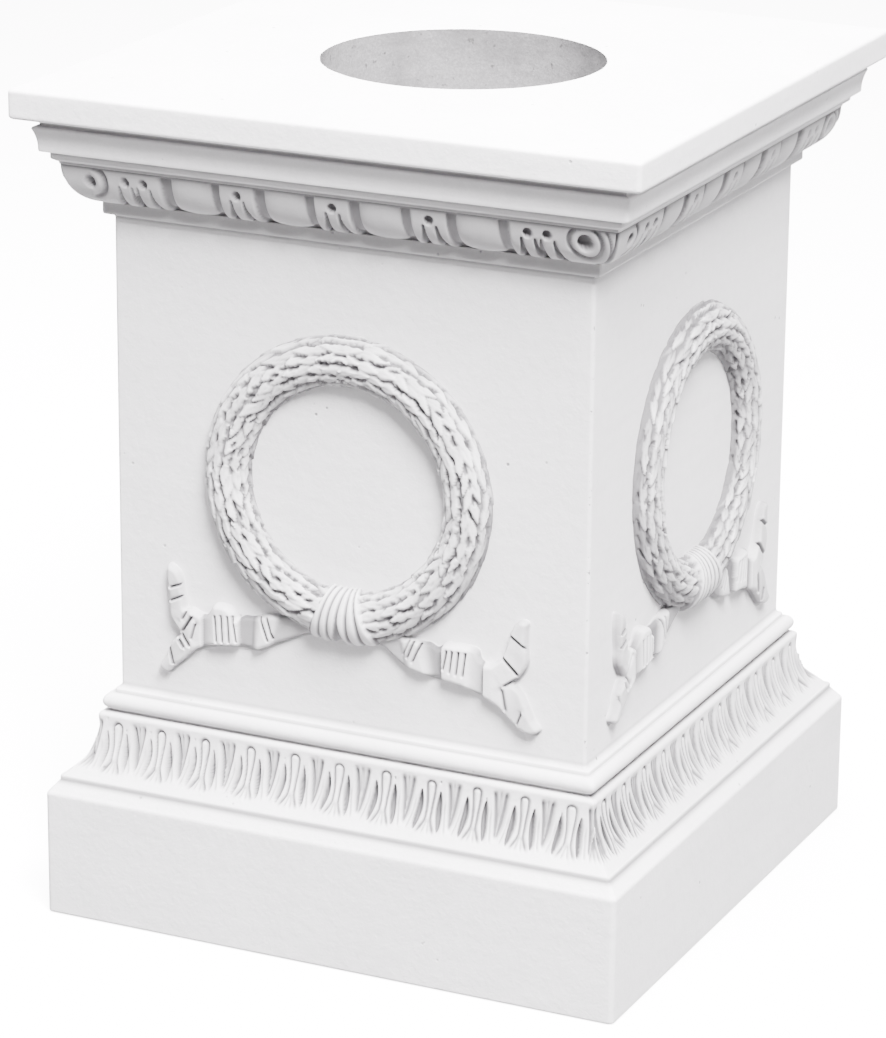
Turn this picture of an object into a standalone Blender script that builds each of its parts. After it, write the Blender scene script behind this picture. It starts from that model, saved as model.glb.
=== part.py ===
"""Baroque garden pedestal of white cast stone.

A plain plinth, a band of carved leaves and a bead carry a square shaft with a laurel wreath and a
ribbon on each of its four faces. An egg-and-dart ovolo, a fascia and a flat slab crown it. The whole
is one casting round a straight bore. Metres, +Z up, origin in the middle of the underside.
"""

import math

import bmesh
import bpy
from mathutils import Matrix, Vector
from mathutils.geometry import tessellate_polygon

# Overall height: the shaft takes up what the members below and above it leave
TOTAL_HEIGHT = 0.520

# Plinth block, with the sloping wash and the thin fillet on top of it
PLINTH_WIDTH = 0.380
PLINTH_HEIGHT = 0.081
PLINTH_ARRIS = 0.003
WASH_HEIGHT = 0.005
FILLET_WIDTH = 0.367
FILLET_HEIGHT = 0.0035

# Leaf band: a cavetto that flares out to the fillet, carved with upright leaves
LEAF_BAND_HEIGHT = 0.0385
LEAF_BAND_TOP_WIDTH = 0.332
LEAF_BAND_FLARE = 2.4
LEAF_LIP = 0.0025
LEAF_COUNT = 11
LEAF_DEPTH = 0.0042

# Bead above a deep crevice, and the small fillet and cove at the foot of the shaft
CREVICE_WIDTH = 0.319
CREVICE_HEIGHT = 0.0015
BEAD_WIDTH = 0.3284
BEAD_HEIGHT = 0.0098
FOOT_FILLET_WIDTH = 0.3164
FOOT_FILLET_HEIGHT = 0.0027
FOOT_COVE_HEIGHT = 0.0035

# Shaft
SHAFT_WIDTH = 0.310

# Cap: neck, egg-and-dart ovolo, slanted fillet, fascia, cove and slab
NECK_WIDTH = 0.3208
NECK_COVE_HEIGHT = 0.0027
NECK_HEIGHT = 0.0078
OVOLO_WIDTH = 0.3568
OVOLO_HEIGHT = 0.024
CAP_FILLET_WIDTH = 0.365
CAP_FILLET_HEIGHT = 0.0084
FASCIA_BOTTOM_WIDTH = 0.3752
FASCIA_TOP_WIDTH = 0.3808
FASCIA_HEIGHT = 0.0141
COVE_WIDTH = 0.3872
COVE_HEIGHT = 0.0065
SLAB_WIDTH = 0.400
SLAB_HEIGHT = 0.018
SLAB_ARRIS = 0.0018

# Egg-and-dart: eggs in the middle of each side, double darts beyond them, a pierced curl at the corner
EGG_COUNT = 4
EGG_PITCH = 0.0615
EGG_WIDTH = 0.026
EGG_GROOVE = 0.0048
DART_WIDTH = 0.006
DOUBLE_DART_SPACING = 0.012
CURL_PLACE = 0.57

# Upright corners are softly rounded in plan
CORNER_ROUND = 0.0022

# Wreath: a half-round torus of overlapping leaves, bound at the bottom
WREATH_WIDTH = 0.188
WREATH_ROLL = 0.031
WREATH_RELIEF = 0.013
WREATH_LEAF_RELIEF = 0.003
WREATH_LEAVES_ROUND = 30
BINDING_LENGTH = 0.036
BINDING_SWELL = 0.0016
BINDING_STRANDS = 4

# Ribbon: two tails that leave the binding, pleated, and end in a swallow tail
RIBBON_SPAN = 0.252
RIBBON_RELIEF = 0.006
RIBBON_PLEAT = 0.002
TAIL_RISE = 0.014
TAIL_DROP = 0.058

# Ornament is rooted this deep in the shaft, which makes one body of them
ROOT_DEPTH = 0.004

# Bore cored through the whole height
BORE_DIAMETER = 0.173
BORE_SIDES = 56

BASE_HEIGHT = (PLINTH_HEIGHT + WASH_HEIGHT + FILLET_HEIGHT + LEAF_BAND_HEIGHT + CREVICE_HEIGHT
               + BEAD_HEIGHT + FOOT_FILLET_HEIGHT + FOOT_COVE_HEIGHT)
CAP_HEIGHT = (NECK_COVE_HEIGHT + NECK_HEIGHT + OVOLO_HEIGHT + CAP_FILLET_HEIGHT + FASCIA_HEIGHT
              + COVE_HEIGHT + SLAB_HEIGHT)
SHAFT_HEIGHT = TOTAL_HEIGHT - BASE_HEIGHT - CAP_HEIGHT
SHAFT_MIDDLE = BASE_HEIGHT + SHAFT_HEIGHT / 2


def smoothstep(low, high, value):
    """Rise from 0 to 1 as value goes from low to high."""
    t = min(max((value - low) / (high - low), 0.0), 1.0)
    return t * t * (3.0 - 2.0 * t)


def arc(middle, radii, start, end, steps):
    """Points of an elliptical arc in the profile plane, angles in degrees."""
    angles = [math.radians(start + (end - start) * i / steps) for i in range(steps + 1)]
    return [(middle[0] + radii[0] * math.cos(a), middle[1] + radii[1] * math.sin(a)) for a in angles]


def leaf_columns(reach):
    """Places along a side where the leaf carving turns: groove, blade, slot and stem of each leaf."""
    pitch = LEAF_BAND_TOP_WIDTH / LEAF_COUNT
    turns = (-0.5, -0.37, -0.22, 0.0, 0.22, 0.37)
    columns = [(i + 0.5 + s - LEAF_COUNT / 2) * pitch for i in range(LEAF_COUNT) for s in turns]
    narrowest = LEAF_BAND_TOP_WIDTH / 2 - LEAF_LIP - CORNER_ROUND
    return [c for c in columns if abs(c) < narrowest - 0.001]


def leaf_relief(along, rise, reach):
    """Outward relief of the leaf band at a place along the side and a share of its height."""
    pitch = LEAF_BAND_TOP_WIDTH / LEAF_COUNT
    if abs(along) >= LEAF_BAND_TOP_WIDTH / 2:
        return 0.0
    s = abs((along / pitch + LEAF_COUNT / 2) % 1.0 - 0.5)
    groove = smoothstep(0.37, 0.5, s) * smoothstep(0.05, 0.45, rise)
    slot = (1.0 - smoothstep(0.0, 0.15, abs(s - 0.22))) * smoothstep(0.15, 0.5, rise)
    return -LEAF_DEPTH * max(0.7 * groove, slot)


def egg_centres():
    """Places of the eggs along a side."""
    return [(i - (EGG_COUNT - 1) / 2) * EGG_PITCH for i in range(EGG_COUNT)]


def dart_centres():
    """Places of the darts: one between two eggs, a pair beyond the last egg."""
    between = [c + EGG_PITCH / 2 for c in egg_centres()[:-1]]
    pair = egg_centres()[-1] + EGG_PITCH / 2
    return between + [side * (pair + step) for side in (-1, 1) for step in (0.0, DOUBLE_DART_SPACING)]


def dart_end():
    """Place where the last dart ends and the pierced curl of the corner begins."""
    return dart_centres()[-1] + DART_WIDTH


def egg_columns(reach):
    """Places along a side where the egg-and-dart carving turns; reach is where its flat part ends."""
    eggs = [c + s * EGG_WIDTH for c in egg_centres() for s in (-0.68, -0.5, -0.32, 0.0, 0.32, 0.5, 0.68)]
    darts = [c + s * DART_WIDTH for c in dart_centres() for s in (-1.0, 0.0, 1.0)]
    ordered = sorted(eggs + darts)
    apart = ordered[:1] + [b for a, b in zip(ordered, ordered[1:]) if b - a > DART_WIDTH * 0.3]
    curl = [dart_end() + s * (reach - dart_end()) for s in (0.25, 0.42, 0.57, 0.72, 0.88)]
    return [-c for c in reversed(curl)] + apart + curl


def egg_relief(along, rise, reach):
    """Inward relief of the egg-and-dart band: grooves round the eggs, slots by the darts, a pierced curl."""
    depth = 0.0
    for centre in egg_centres():
        off = math.hypot((along - centre) / (0.5 * EGG_WIDTH), max(0.75 - rise, 0.0) / 0.5)
        depth = max(depth, 1.0 - smoothstep(0.0, 0.36, abs(off - 1.0)))
    for centre in dart_centres():
        off = abs(along - centre) / DART_WIDTH
        depth = max(depth, (1.0 - smoothstep(0.0, 0.8, abs(off - 1.0))) * 0.8)
    share = (abs(along) - dart_end()) / (reach - dart_end())
    off = math.hypot((share - CURL_PLACE) / 0.3, (rise - 0.5) / 0.45)
    depth = max(depth, 1.0 - smoothstep(0.2, 0.7, off))
    return -EGG_GROOVE * depth * smoothstep(0.0, 0.25, rise) * (1.0 - smoothstep(0.85, 1.0, rise))


def profile():
    """Levels from the underside to the top: half width, height, carving of the level and its rise."""
    levels = []

    def plain(*points):
        levels.extend((half, z, None, 0.0) for half, z in points)

    z = 0.0
    half = PLINTH_WIDTH / 2
    plain((half - PLINTH_ARRIS / 2, z), (half, z + PLINTH_ARRIS / 2))
    z += PLINTH_HEIGHT
    plain(*arc((half - PLINTH_ARRIS, z - PLINTH_ARRIS), (PLINTH_ARRIS, PLINTH_ARRIS), 0, 60, 2))
    z += WASH_HEIGHT
    plain((FILLET_WIDTH / 2, z))
    z += FILLET_HEIGHT
    plain((FILLET_WIDTH / 2, z))
    top = LEAF_BAND_TOP_WIDTH / 2
    for rise in (0.0, 0.2, 0.5, 0.93, 1.0):
        flare = (1.0 - rise) ** LEAF_BAND_FLARE * (FILLET_WIDTH / 2 - top - LEAF_LIP / 2)
        inset = LEAF_LIP * smoothstep(0.92, 1.0, rise)
        lift = LEAF_LIP / 4 if rise == 0.0 else 0.0
        levels.append((top + flare - inset, z + lift + rise * (LEAF_BAND_HEIGHT - lift), leaf_relief,
                       0.9 * rise if rise < 1.0 else 0.0))
    z += LEAF_BAND_HEIGHT
    plain((CREVICE_WIDTH / 2, z + CREVICE_HEIGHT / 4), (CREVICE_WIDTH / 2, z + CREVICE_HEIGHT))
    z += CREVICE_HEIGHT
    radius = BEAD_HEIGHT / 2
    plain(*arc((BEAD_WIDTH / 2 - radius, z + radius), (radius, radius), -60, 75, 5))
    z += BEAD_HEIGHT
    foot = FOOT_FILLET_WIDTH / 2
    plain((foot, z + FOOT_FILLET_HEIGHT * 0.2), (foot, z + FOOT_FILLET_HEIGHT))
    z += FOOT_FILLET_HEIGHT
    plain(*arc((foot, z + FOOT_COVE_HEIGHT), (SHAFT_WIDTH / 2 - foot, -FOOT_COVE_HEIGHT), 55, 0, 2))
    z += FOOT_COVE_HEIGHT + SHAFT_HEIGHT
    neck = NECK_WIDTH / 2
    plain((SHAFT_WIDTH / 2, z), ((SHAFT_WIDTH / 2 + neck) / 2 - 0.0005, z + NECK_COVE_HEIGHT * 0.8))
    z += NECK_COVE_HEIGHT
    plain((neck, z))
    z += NECK_HEIGHT
    steps = 5
    for i in range(steps + 1):
        rise = i / steps
        angle = math.radians(-90 + 90 * (1.0 - (1.0 - rise) ** 1.2))
        bulge = neck - 0.001 + (OVOLO_WIDTH / 2 - neck + 0.001) * math.cos(angle)
        if i == 0:
            bulge = neck
        levels.append((bulge, z + OVOLO_HEIGHT * rise, egg_relief, rise))
    z += OVOLO_HEIGHT
    fillet = CAP_FILLET_WIDTH / 2
    plain((OVOLO_WIDTH / 2, z + CAP_FILLET_HEIGHT * 0.2), (fillet, z + CAP_FILLET_HEIGHT * 0.55),
          (fillet, z + CAP_FILLET_HEIGHT * 0.9))
    z += CAP_FILLET_HEIGHT
    low, high = FASCIA_BOTTOM_WIDTH / 2, FASCIA_TOP_WIDTH / 2
    plain((low, z))
    plain((low + (high - low) * 0.25, z + FASCIA_HEIGHT * 0.55), (high, z + FASCIA_HEIGHT))
    z += FASCIA_HEIGHT
    cove = COVE_WIDTH / 2
    plain((high - 0.001, z + COVE_HEIGHT * 0.3), ((high + cove) / 2 - 0.001, z + COVE_HEIGHT * 0.75),
          (cove, z + COVE_HEIGHT))
    z += COVE_HEIGHT
    half = SLAB_WIDTH / 2
    plain((half - SLAB_ARRIS, z), (half, z + SLAB_ARRIS))
    z += SLAB_HEIGHT
    plain((half, z - SLAB_ARRIS), (half - SLAB_ARRIS * 0.3, z - SLAB_ARRIS * 0.3), (half - SLAB_ARRIS, z))
    return levels


def ring_points(level):
    """One level of the casting as four sides, each from just past one rounded corner to the next."""
    half, z, relief, rise = level
    reach = half - CORNER_ROUND
    columns = {leaf_relief: leaf_columns, egg_relief: egg_columns}[relief](reach) if relief else []
    sides = []
    for turn in range(4):
        spin = Matrix.Rotation(turn * math.pi / 2, 4, "Z")
        corner = [Vector((-reach - CORNER_ROUND * math.sin(a), -reach - CORNER_ROUND * math.cos(a), z))
                  for a in (math.radians(45), 0.0)]
        points = corner + [Vector((u, -half - relief(u, rise, reach), z)) for u in columns]
        points.append(Vector((reach, -half, z)))
        sides.append([spin @ p for p in points])
    return sides


def fan(bm, coarse, fine):
    """Faces between an edge of two points and a line of many, split at the middle of the line."""
    middle = len(fine) // 2
    for i in range(len(fine) - 1):
        bm.faces.new((coarse[0] if i < middle else coarse[1], fine[i + 1], fine[i]))
    bm.faces.new((coarse[0], coarse[1], fine[middle]))


def casting_mesh():
    """The moulded body: its levels joined strip by strip, with plain strips left as whole faces."""
    bm = bmesh.new()
    rings = [[[bm.verts.new(p) for p in side] for side in ring_points(level)] for level in profile()]
    carved = []
    for low, high in zip(rings, rings[1:]):
        for turn in range(4):
            a, b = low[turn], high[turn]
            after_a, after_b = low[(turn + 1) % 4], high[(turn + 1) % 4]
            bm.faces.new((a[0], a[1], b[1], b[0]))
            if len(a) == len(b) == 3:
                bm.faces.new((a[1], a[2], b[2], b[1]))
            elif len(a) == len(b):
                carved += [bm.faces.new((a[i], a[i + 1], b[i + 1], b[i])) for i in range(1, len(a) - 1)]
            elif len(a) < len(b):
                fan(bm, a[1:], b[1:])
            else:
                fan(bm, b[1:], a[1:])
            bm.faces.new((a[-1], after_a[0], after_b[0], b[-1]))
    bm.faces.new([v for side in reversed(rings[0]) for v in reversed(side)])
    bm.faces.new([v for side in rings[-1] for v in side])
    bmesh.ops.triangulate(bm, faces=carved, quad_method="SHORT_EDGE")
    bmesh.ops.recalc_face_normals(bm, faces=bm.faces)
    mesh = bpy.data.meshes.new("casting")
    bm.to_mesh(mesh)
    bm.free()
    return mesh


def wreath_mesh():
    """Half-round ring of leaf rows that run down both sides to a bound place at the bottom."""
    bm = bmesh.new()
    radius = (WREATH_WIDTH - WREATH_ROLL) / 2
    bound = BINDING_LENGTH / 2 / radius
    leafy = [bound + (2 * math.pi - 2 * bound) * i / WREATH_LEAVES_ROUND
             for i in range(1, WREATH_LEAVES_ROUND)]
    strands = [-bound + 2 * bound * i / (2 * BINDING_STRANDS) for i in range(2 * BINDING_STRANDS + 1)]
    stations = [(a, "binding", i) for i, a in enumerate(strands)] + [(a, "leaves", i) for i, a in enumerate(leafy)]
    rows = 5
    rings = []
    for angle, kind, count in stations:
        outward = Vector((math.sin(angle), 0.0, -math.cos(angle)))
        if kind == "binding":
            swell = BINDING_SWELL * (1.0 if count % 2 else 0.35)
        section = [outward * (radius + WREATH_ROLL / 2) + Vector((0, ROOT_DEPTH, 0))]
        for row in range(rows + 1):
            across = math.radians(8 + 164 * row / rows)
            grow = swell if kind == "binding" else WREATH_LEAF_RELIEF * ((row + count) % 2 - 0.5)
            section.append(outward * (radius + (WREATH_ROLL / 2 + grow) * math.cos(across))
                           + Vector((0, -(WREATH_RELIEF + grow) * math.sin(across), 0)))
        section.append(outward * (radius - WREATH_ROLL / 2) + Vector((0, ROOT_DEPTH, 0)))
        rings.append([bm.verts.new(p) for p in section])
    for ring, after in zip(rings, rings[1:] + rings[:1]):
        for i in range(len(ring)):
            j = (i + 1) % len(ring)
            bm.faces.new((ring[i], after[i], after[j], ring[j]))
    bmesh.ops.triangulate(bm, faces=bm.faces)
    bmesh.ops.recalc_face_normals(bm, faces=bm.faces)
    mesh = bpy.data.meshes.new("wreath")
    bm.to_mesh(mesh)
    bm.free()
    return mesh


def ribbon_outline():
    """Outline of one ribbon tail, right of the binding, with the relief of each of its corners."""
    reach = RIBBON_SPAN / 2
    fold = RIBBON_RELIEF + RIBBON_PLEAT
    valley = RIBBON_RELIEF - RIBBON_PLEAT
    upper = [(0.10, -0.012, fold), (0.34, -0.008, fold), (0.48, -0.011, fold), (0.525, -0.017, valley),
             (0.58, -0.009, fold), (0.66, -0.009, fold), (0.71, -0.015, valley), (0.77, -0.0145, fold),
             (0.83, -0.013, fold)]
    rising = [(0.86, TAIL_RISE * 0.1, valley), (0.90, TAIL_RISE * 0.85, fold), (0.94, TAIL_RISE, valley),
              (0.955, TAIL_RISE * 0.2, fold), (0.945, -0.018, fold)]
    notch = [(0.885, -0.0275, valley)]
    falling = [(0.94, -TAIL_DROP * 0.68, fold), (1.0, -TAIL_DROP * 0.95, valley), (0.97, -TAIL_DROP, valley),
               (0.91, -TAIL_DROP * 0.95, valley), (0.81, -TAIL_DROP * 0.77, fold)]
    lower = [(0.71, -0.0375, valley), (0.60, -0.0345, fold), (0.48, -0.0337, valley), (0.38, -0.031, fold),
             (0.10, -0.016, fold)]
    return [(share * reach, up, relief) for share, up, relief in upper + rising + notch + falling + lower]


def ribbon_mesh(side):
    """One ribbon tail as a low plate whose front follows the pleats; side is 1 right or -1 left."""
    outline = ribbon_outline()
    flat = [Vector((x, z, 0.0)) for x, z, _ in outline]
    bm = bmesh.new()
    front = [bm.verts.new((side * x, -relief, z)) for x, z, relief in outline]
    back = [bm.verts.new((side * x, ROOT_DEPTH, z)) for x, z, _ in outline]
    for triangle in tessellate_polygon([flat]):
        bm.faces.new([front[i] for i in triangle])
        bm.faces.new([back[i] for i in reversed(triangle)])
    for i in range(len(outline)):
        j = (i + 1) % len(outline)
        bm.faces.new((front[i], front[j], back[j], back[i]))
    bmesh.ops.recalc_face_normals(bm, faces=bm.faces)
    mesh = bpy.data.meshes.new("ribbon")
    bm.to_mesh(mesh)
    bm.free()
    return mesh


def bore_mesh():
    """Cutter of the bore, longer than the pedestal is high."""
    bm = bmesh.new()
    bmesh.ops.create_cone(bm, cap_ends=True, segments=BORE_SIDES, radius1=BORE_DIAMETER / 2,
                          radius2=BORE_DIAMETER / 2, depth=TOTAL_HEIGHT * 1.2)
    mesh = bpy.data.meshes.new("bore")
    bm.to_mesh(mesh)
    bm.free()
    return mesh


def add_object(name, mesh, place=(0, 0, 0), turn=0.0):
    """Link a mesh into the scene at a place, turned about Z."""
    mesh.shade_smooth()
    mesh.set_sharp_from_angle(angle=math.radians(32))
    obj = bpy.data.objects.new(name, mesh)
    obj.location = place
    obj.rotation_euler = (0, 0, turn)
    bpy.context.scene.collection.objects.link(obj)
    return obj


def use_on(body, tool, operation):
    """Join the tool to the body, or cut it out, and keep the tool out of the finished part."""
    tool.hide_render = True
    tool.display_type = "WIRE"
    modifier = body.modifiers.new(tool.name, "BOOLEAN")
    modifier.object = tool
    modifier.operation = operation
    modifier.solver = "EXACT"


for old in list(bpy.data.objects):
    bpy.data.objects.remove(old, do_unlink=True)

stone = bpy.data.materials.new("white cast stone")
stone.use_nodes = True
shader = stone.node_tree.nodes["Principled BSDF"]
shader.inputs["Base Color"].default_value = (0.78, 0.77, 0.78, 1.0)
shader.inputs["Roughness"].default_value = 0.9
shader.inputs["Metallic"].default_value = 0.0

pedestal = add_object("pedestal", casting_mesh())
pedestal.data.materials.append(stone)
wreath, tails = wreath_mesh(), {"left": ribbon_mesh(-1), "right": ribbon_mesh(1)}
binding_drop = (WREATH_WIDTH - WREATH_ROLL) / 2
for face in range(4):
    quarter = face * math.pi / 2
    spin = Matrix.Rotation(quarter, 4, "Z")
    middle = spin @ Vector((0, -SHAFT_WIDTH / 2, SHAFT_MIDDLE))
    for side, tail in tails.items():
        place = middle - Vector((0, 0, binding_drop))
        use_on(pedestal, add_object("ribbon %s %d" % (side, face), tail, place, quarter), "UNION")
    use_on(pedestal, add_object("wreath %d" % face, wreath, middle, quarter), "UNION")
bore = add_object("bore", bore_mesh(), (0, 0, TOTAL_HEIGHT / 2))
use_on(pedestal, bore, "DIFFERENCE")
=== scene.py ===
"""A baroque garden pedestal of white cast stone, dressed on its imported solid.

One casting: a plain plinth, a band of carved leaves, a bead, a square shaft with a laurel wreath and a
ribbon on each face, an egg-and-dart band, a fascia and a flat slab, round a cored bore.
"""

import math

import bmesh
import bpy
import numpy as np
from mathutils import Matrix, Vector
from mathutils.geometry import delaunay_2d_cdt


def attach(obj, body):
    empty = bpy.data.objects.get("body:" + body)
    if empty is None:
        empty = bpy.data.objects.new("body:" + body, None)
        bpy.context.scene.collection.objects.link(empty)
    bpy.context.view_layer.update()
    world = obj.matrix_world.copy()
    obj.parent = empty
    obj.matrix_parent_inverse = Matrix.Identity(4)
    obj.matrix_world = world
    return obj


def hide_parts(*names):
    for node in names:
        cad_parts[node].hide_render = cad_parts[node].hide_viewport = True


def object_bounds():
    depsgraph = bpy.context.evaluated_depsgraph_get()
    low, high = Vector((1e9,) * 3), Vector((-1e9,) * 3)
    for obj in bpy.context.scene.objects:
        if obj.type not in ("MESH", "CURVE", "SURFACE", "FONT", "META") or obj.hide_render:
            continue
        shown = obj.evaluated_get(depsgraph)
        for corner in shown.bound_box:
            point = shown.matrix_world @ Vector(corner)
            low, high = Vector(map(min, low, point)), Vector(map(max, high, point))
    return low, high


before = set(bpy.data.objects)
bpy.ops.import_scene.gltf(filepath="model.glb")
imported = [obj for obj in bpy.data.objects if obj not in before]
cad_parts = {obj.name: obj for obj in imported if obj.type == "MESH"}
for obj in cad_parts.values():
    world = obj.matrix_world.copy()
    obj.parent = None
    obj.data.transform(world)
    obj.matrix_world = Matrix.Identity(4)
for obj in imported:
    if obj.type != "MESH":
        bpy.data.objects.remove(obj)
cad_low, cad_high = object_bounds()
slab_half = cad_high.x
pedestal_height = cad_high.z

# Camera: a long lens held above the slab's height, turned 25 degrees from the front face and tipped
# 18 degrees down, as the photograph was taken. The frame is 886 by 1038 pixels.
FRAME_HEIGHT, FOCAL_PIXELS, SENSOR_MM = 1038, 4372, 36
CAMERA_PLACE = Vector((5.44, -11.73, 5.39))  # in half widths of the slab
CAMERA_TURN, CAMERA_DIP, CAMERA_ROLL = 25.1, 18.2, 0.5
camera_data = bpy.data.cameras.new("camera")
camera = bpy.data.objects.new("camera", camera_data)
bpy.context.scene.collection.objects.link(camera)
bpy.context.scene.camera = camera
camera_data.lens = FOCAL_PIXELS * SENSOR_MM / FRAME_HEIGHT
camera_data.sensor_width = SENSOR_MM
camera_data.clip_end = 50
camera.location = CAMERA_PLACE * slab_half
turned, tipped, rolled = (Matrix.Rotation(math.radians(angle), 3, axis) for angle, axis in
                          ((CAMERA_TURN, "Z"), (90 - CAMERA_DIP, "X"), (CAMERA_ROLL, "Z")))
camera.rotation_euler = (turned @ tipped @ rolled).to_euler()

# Casting: the plain members from plinth to slab, one stone of white cement and marble flour, poured in
# a mould and struck with softly rounded arrises. It stands back behind the carved bands, and the bore
# runs down through its middle, rough and grey as it left its core.
PLINTH_HALF, PLINTH_HEIGHT, PLINTH_ARRIS, UNDERSIDE_ARRIS = 0.190, 0.081, 0.0035, 0.0015
FILLET_HALF, WASH_TOP, FILLET_TOP = 0.1835, 0.086, 0.0895
BACK_HALF = 0.150
CREVICE_HALF, CREVICE_BOTTOM, BEAD_BOTTOM = 0.1595, 0.1272, 0.1295
BEAD_HALF, BEAD_RADIUS = 0.1642, 0.0049
FOOT_FILLET_HALF, FOOT_FILLET_TOP, SHAFT_BOTTOM = 0.1582, 0.142, 0.1455
SHAFT_HALF, SHAFT_TOP = 0.155, 0.4385
NECK_HALF, NECK_BOTTOM, NECK_TOP = 0.1604, 0.4412, 0.449
OVOLO_HALF, OVOLO_TOP = 0.1784, 0.473
CAP_FILLET_HALF, FASCIA_BOTTOM = 0.1825, 0.4814
FASCIA_LOW_HALF, FASCIA_HIGH_HALF, FASCIA_TOP, FASCIA_LIP = 0.1876, 0.1904, 0.4955, 0.0011
RECESS_HALF, COVE_HALF, COVE_START, SLAB_BOTTOM, SLAB_ARRIS = 0.1866, 0.1936, 0.0022, 0.502, 0.0022
BORE_RADIUS, BORE_ROUGH = 0.0865, 0.0002
BORE_RIM = [(0.0022, 0.0), (0.0007, 0.0), (0.0, -0.0005)]  # out from the wall, up from the slab
CORNER_STEPS, SIDE_STEPS, LEVEL_STEP, PLAIN_FACE = 5, 18, 0.0011, 0.02
# Painted shade in creases as their shadow, and on the slab's face, as (half width, height, reach,
# strength).
CREASES = [(0.1870, 0.4974, 0.0027, 0.80), (0.1900, 0.4940, 0.0065, 0.22), (0.1825, 0.4800, 0.0009, 0.85),
           (0.1793, 0.4748, 0.0025, 0.90), (0.1760, 0.4680, 0.0280, 0.22), (0.1582, 0.4492, 0.0020, 0.95),
           (0.1590, 0.4450, 0.0080, 0.72), (0.1550, 0.4392, 0.0013, 0.90), (0.1590, 0.1286, 0.0024, 0.55),
           (0.1632, 0.1306, 0.0022, 0.45), (0.1584, 0.1390, 0.0010, 0.60), (0.1550, 0.1452, 0.0012, 0.35),
           (0.1837, 0.0866, 0.0020, 0.75), (0.1835, 0.0884, 0.0016, 0.60), (0.2000, 0.5110, 0.0080, 0.13)]
# The cap's painted shade is halved on its right face, which the key light lights more.
RIGHT_CAP_PAINTED_SHADE = 0.5
# The mesh layer that carries each point's painted shade.
PAINTED_SHADE_LAYER = "painted_shade_amount"
STONE_WHITE, STONE_SHADE = (0.825, 0.81, 0.822, 1.0), (0.71, 0.695, 0.707, 1.0)
# The near black that painted shade mixes into the skin, in place of shadow.
SAND_TINT, PAINTED_SHADE_TINT = (0.58, 0.57, 0.58, 1.0), (0.085, 0.082, 0.086, 1.0)
PINHOLE_TINT = (0.15, 0.145, 0.15, 1.0)
CORE_LIGHT, CORE_DARK = (0.21, 0.205, 0.208, 1.0), (0.135, 0.131, 0.134, 1.0)
# Stains and open pits of the bore's wall, as (scale, low, high, strength, colour).
CORE_STAINS = [(22.0, 0.46, 0.62, 0.50, (0.115, 0.112, 0.114, 1.0)),
               (230.0, 0.65, 0.73, 0.75, (0.060, 0.057, 0.057, 1.0))]
SKIN_RELIEF, CORE_RELIEF, BUMP_STRENGTH = 0.0004, 0.0015, 0.5
# The mould's seam ran down the shaft's arrises: where its pinholes begin and are full, from the middle
# plane out, from the top down and from the foot up.
SEAM_OUT, SEAM_TOP, SEAM_FOOT = (0.1532, 0.1541), (0.425, 0.415), (0.147, 0.155)


def add_node(tree, kind, result, sockets, **settings):
    """Add a node, set it up, feed its sockets with constants or other results, and return its result."""
    node = tree.nodes.new(kind)
    for name, value in settings.items():
        setattr(node, name, value)
    for key, value in sockets.items():
        if isinstance(value, bpy.types.NodeSocket):
            tree.links.new(value, node.inputs[key])
        else:
            node.inputs[key].default_value = value
    return node.outputs[result]


def noise(tree, place, scale, detail, rough=0.55):
    return add_node(tree, "ShaderNodeTexNoise", "Fac",
                    {"Vector": place, "Scale": scale, "Detail": detail, "Roughness": rough})


def ramp(tree, value, low, high, to_low=0.0, to_high=1.0, curve="SMOOTHSTEP"):
    return add_node(tree, "ShaderNodeMapRange", "Result",
                    {"Value": value, "From Min": low, "From Max": high, "To Min": to_low,
                     "To Max": to_high}, interpolation_type=curve)


def maths(tree, operation, a, b=0.0):
    return add_node(tree, "ShaderNodeMath", "Value", {0: a, 1: b}, operation=operation)


def mix(tree, factor, a, b):
    return add_node(tree, "ShaderNodeMix", "Result", {"Factor": factor, "A": a, "B": b}, data_type="RGBA")


def weighed_sum(tree, *terms):
    """Sum of results, each times its weight."""
    total, *others = (maths(tree, "MULTIPLY", value, weight) for value, weight in terms)
    for other in others:
        total = maths(tree, "ADD", total, other)
    return total


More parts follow.
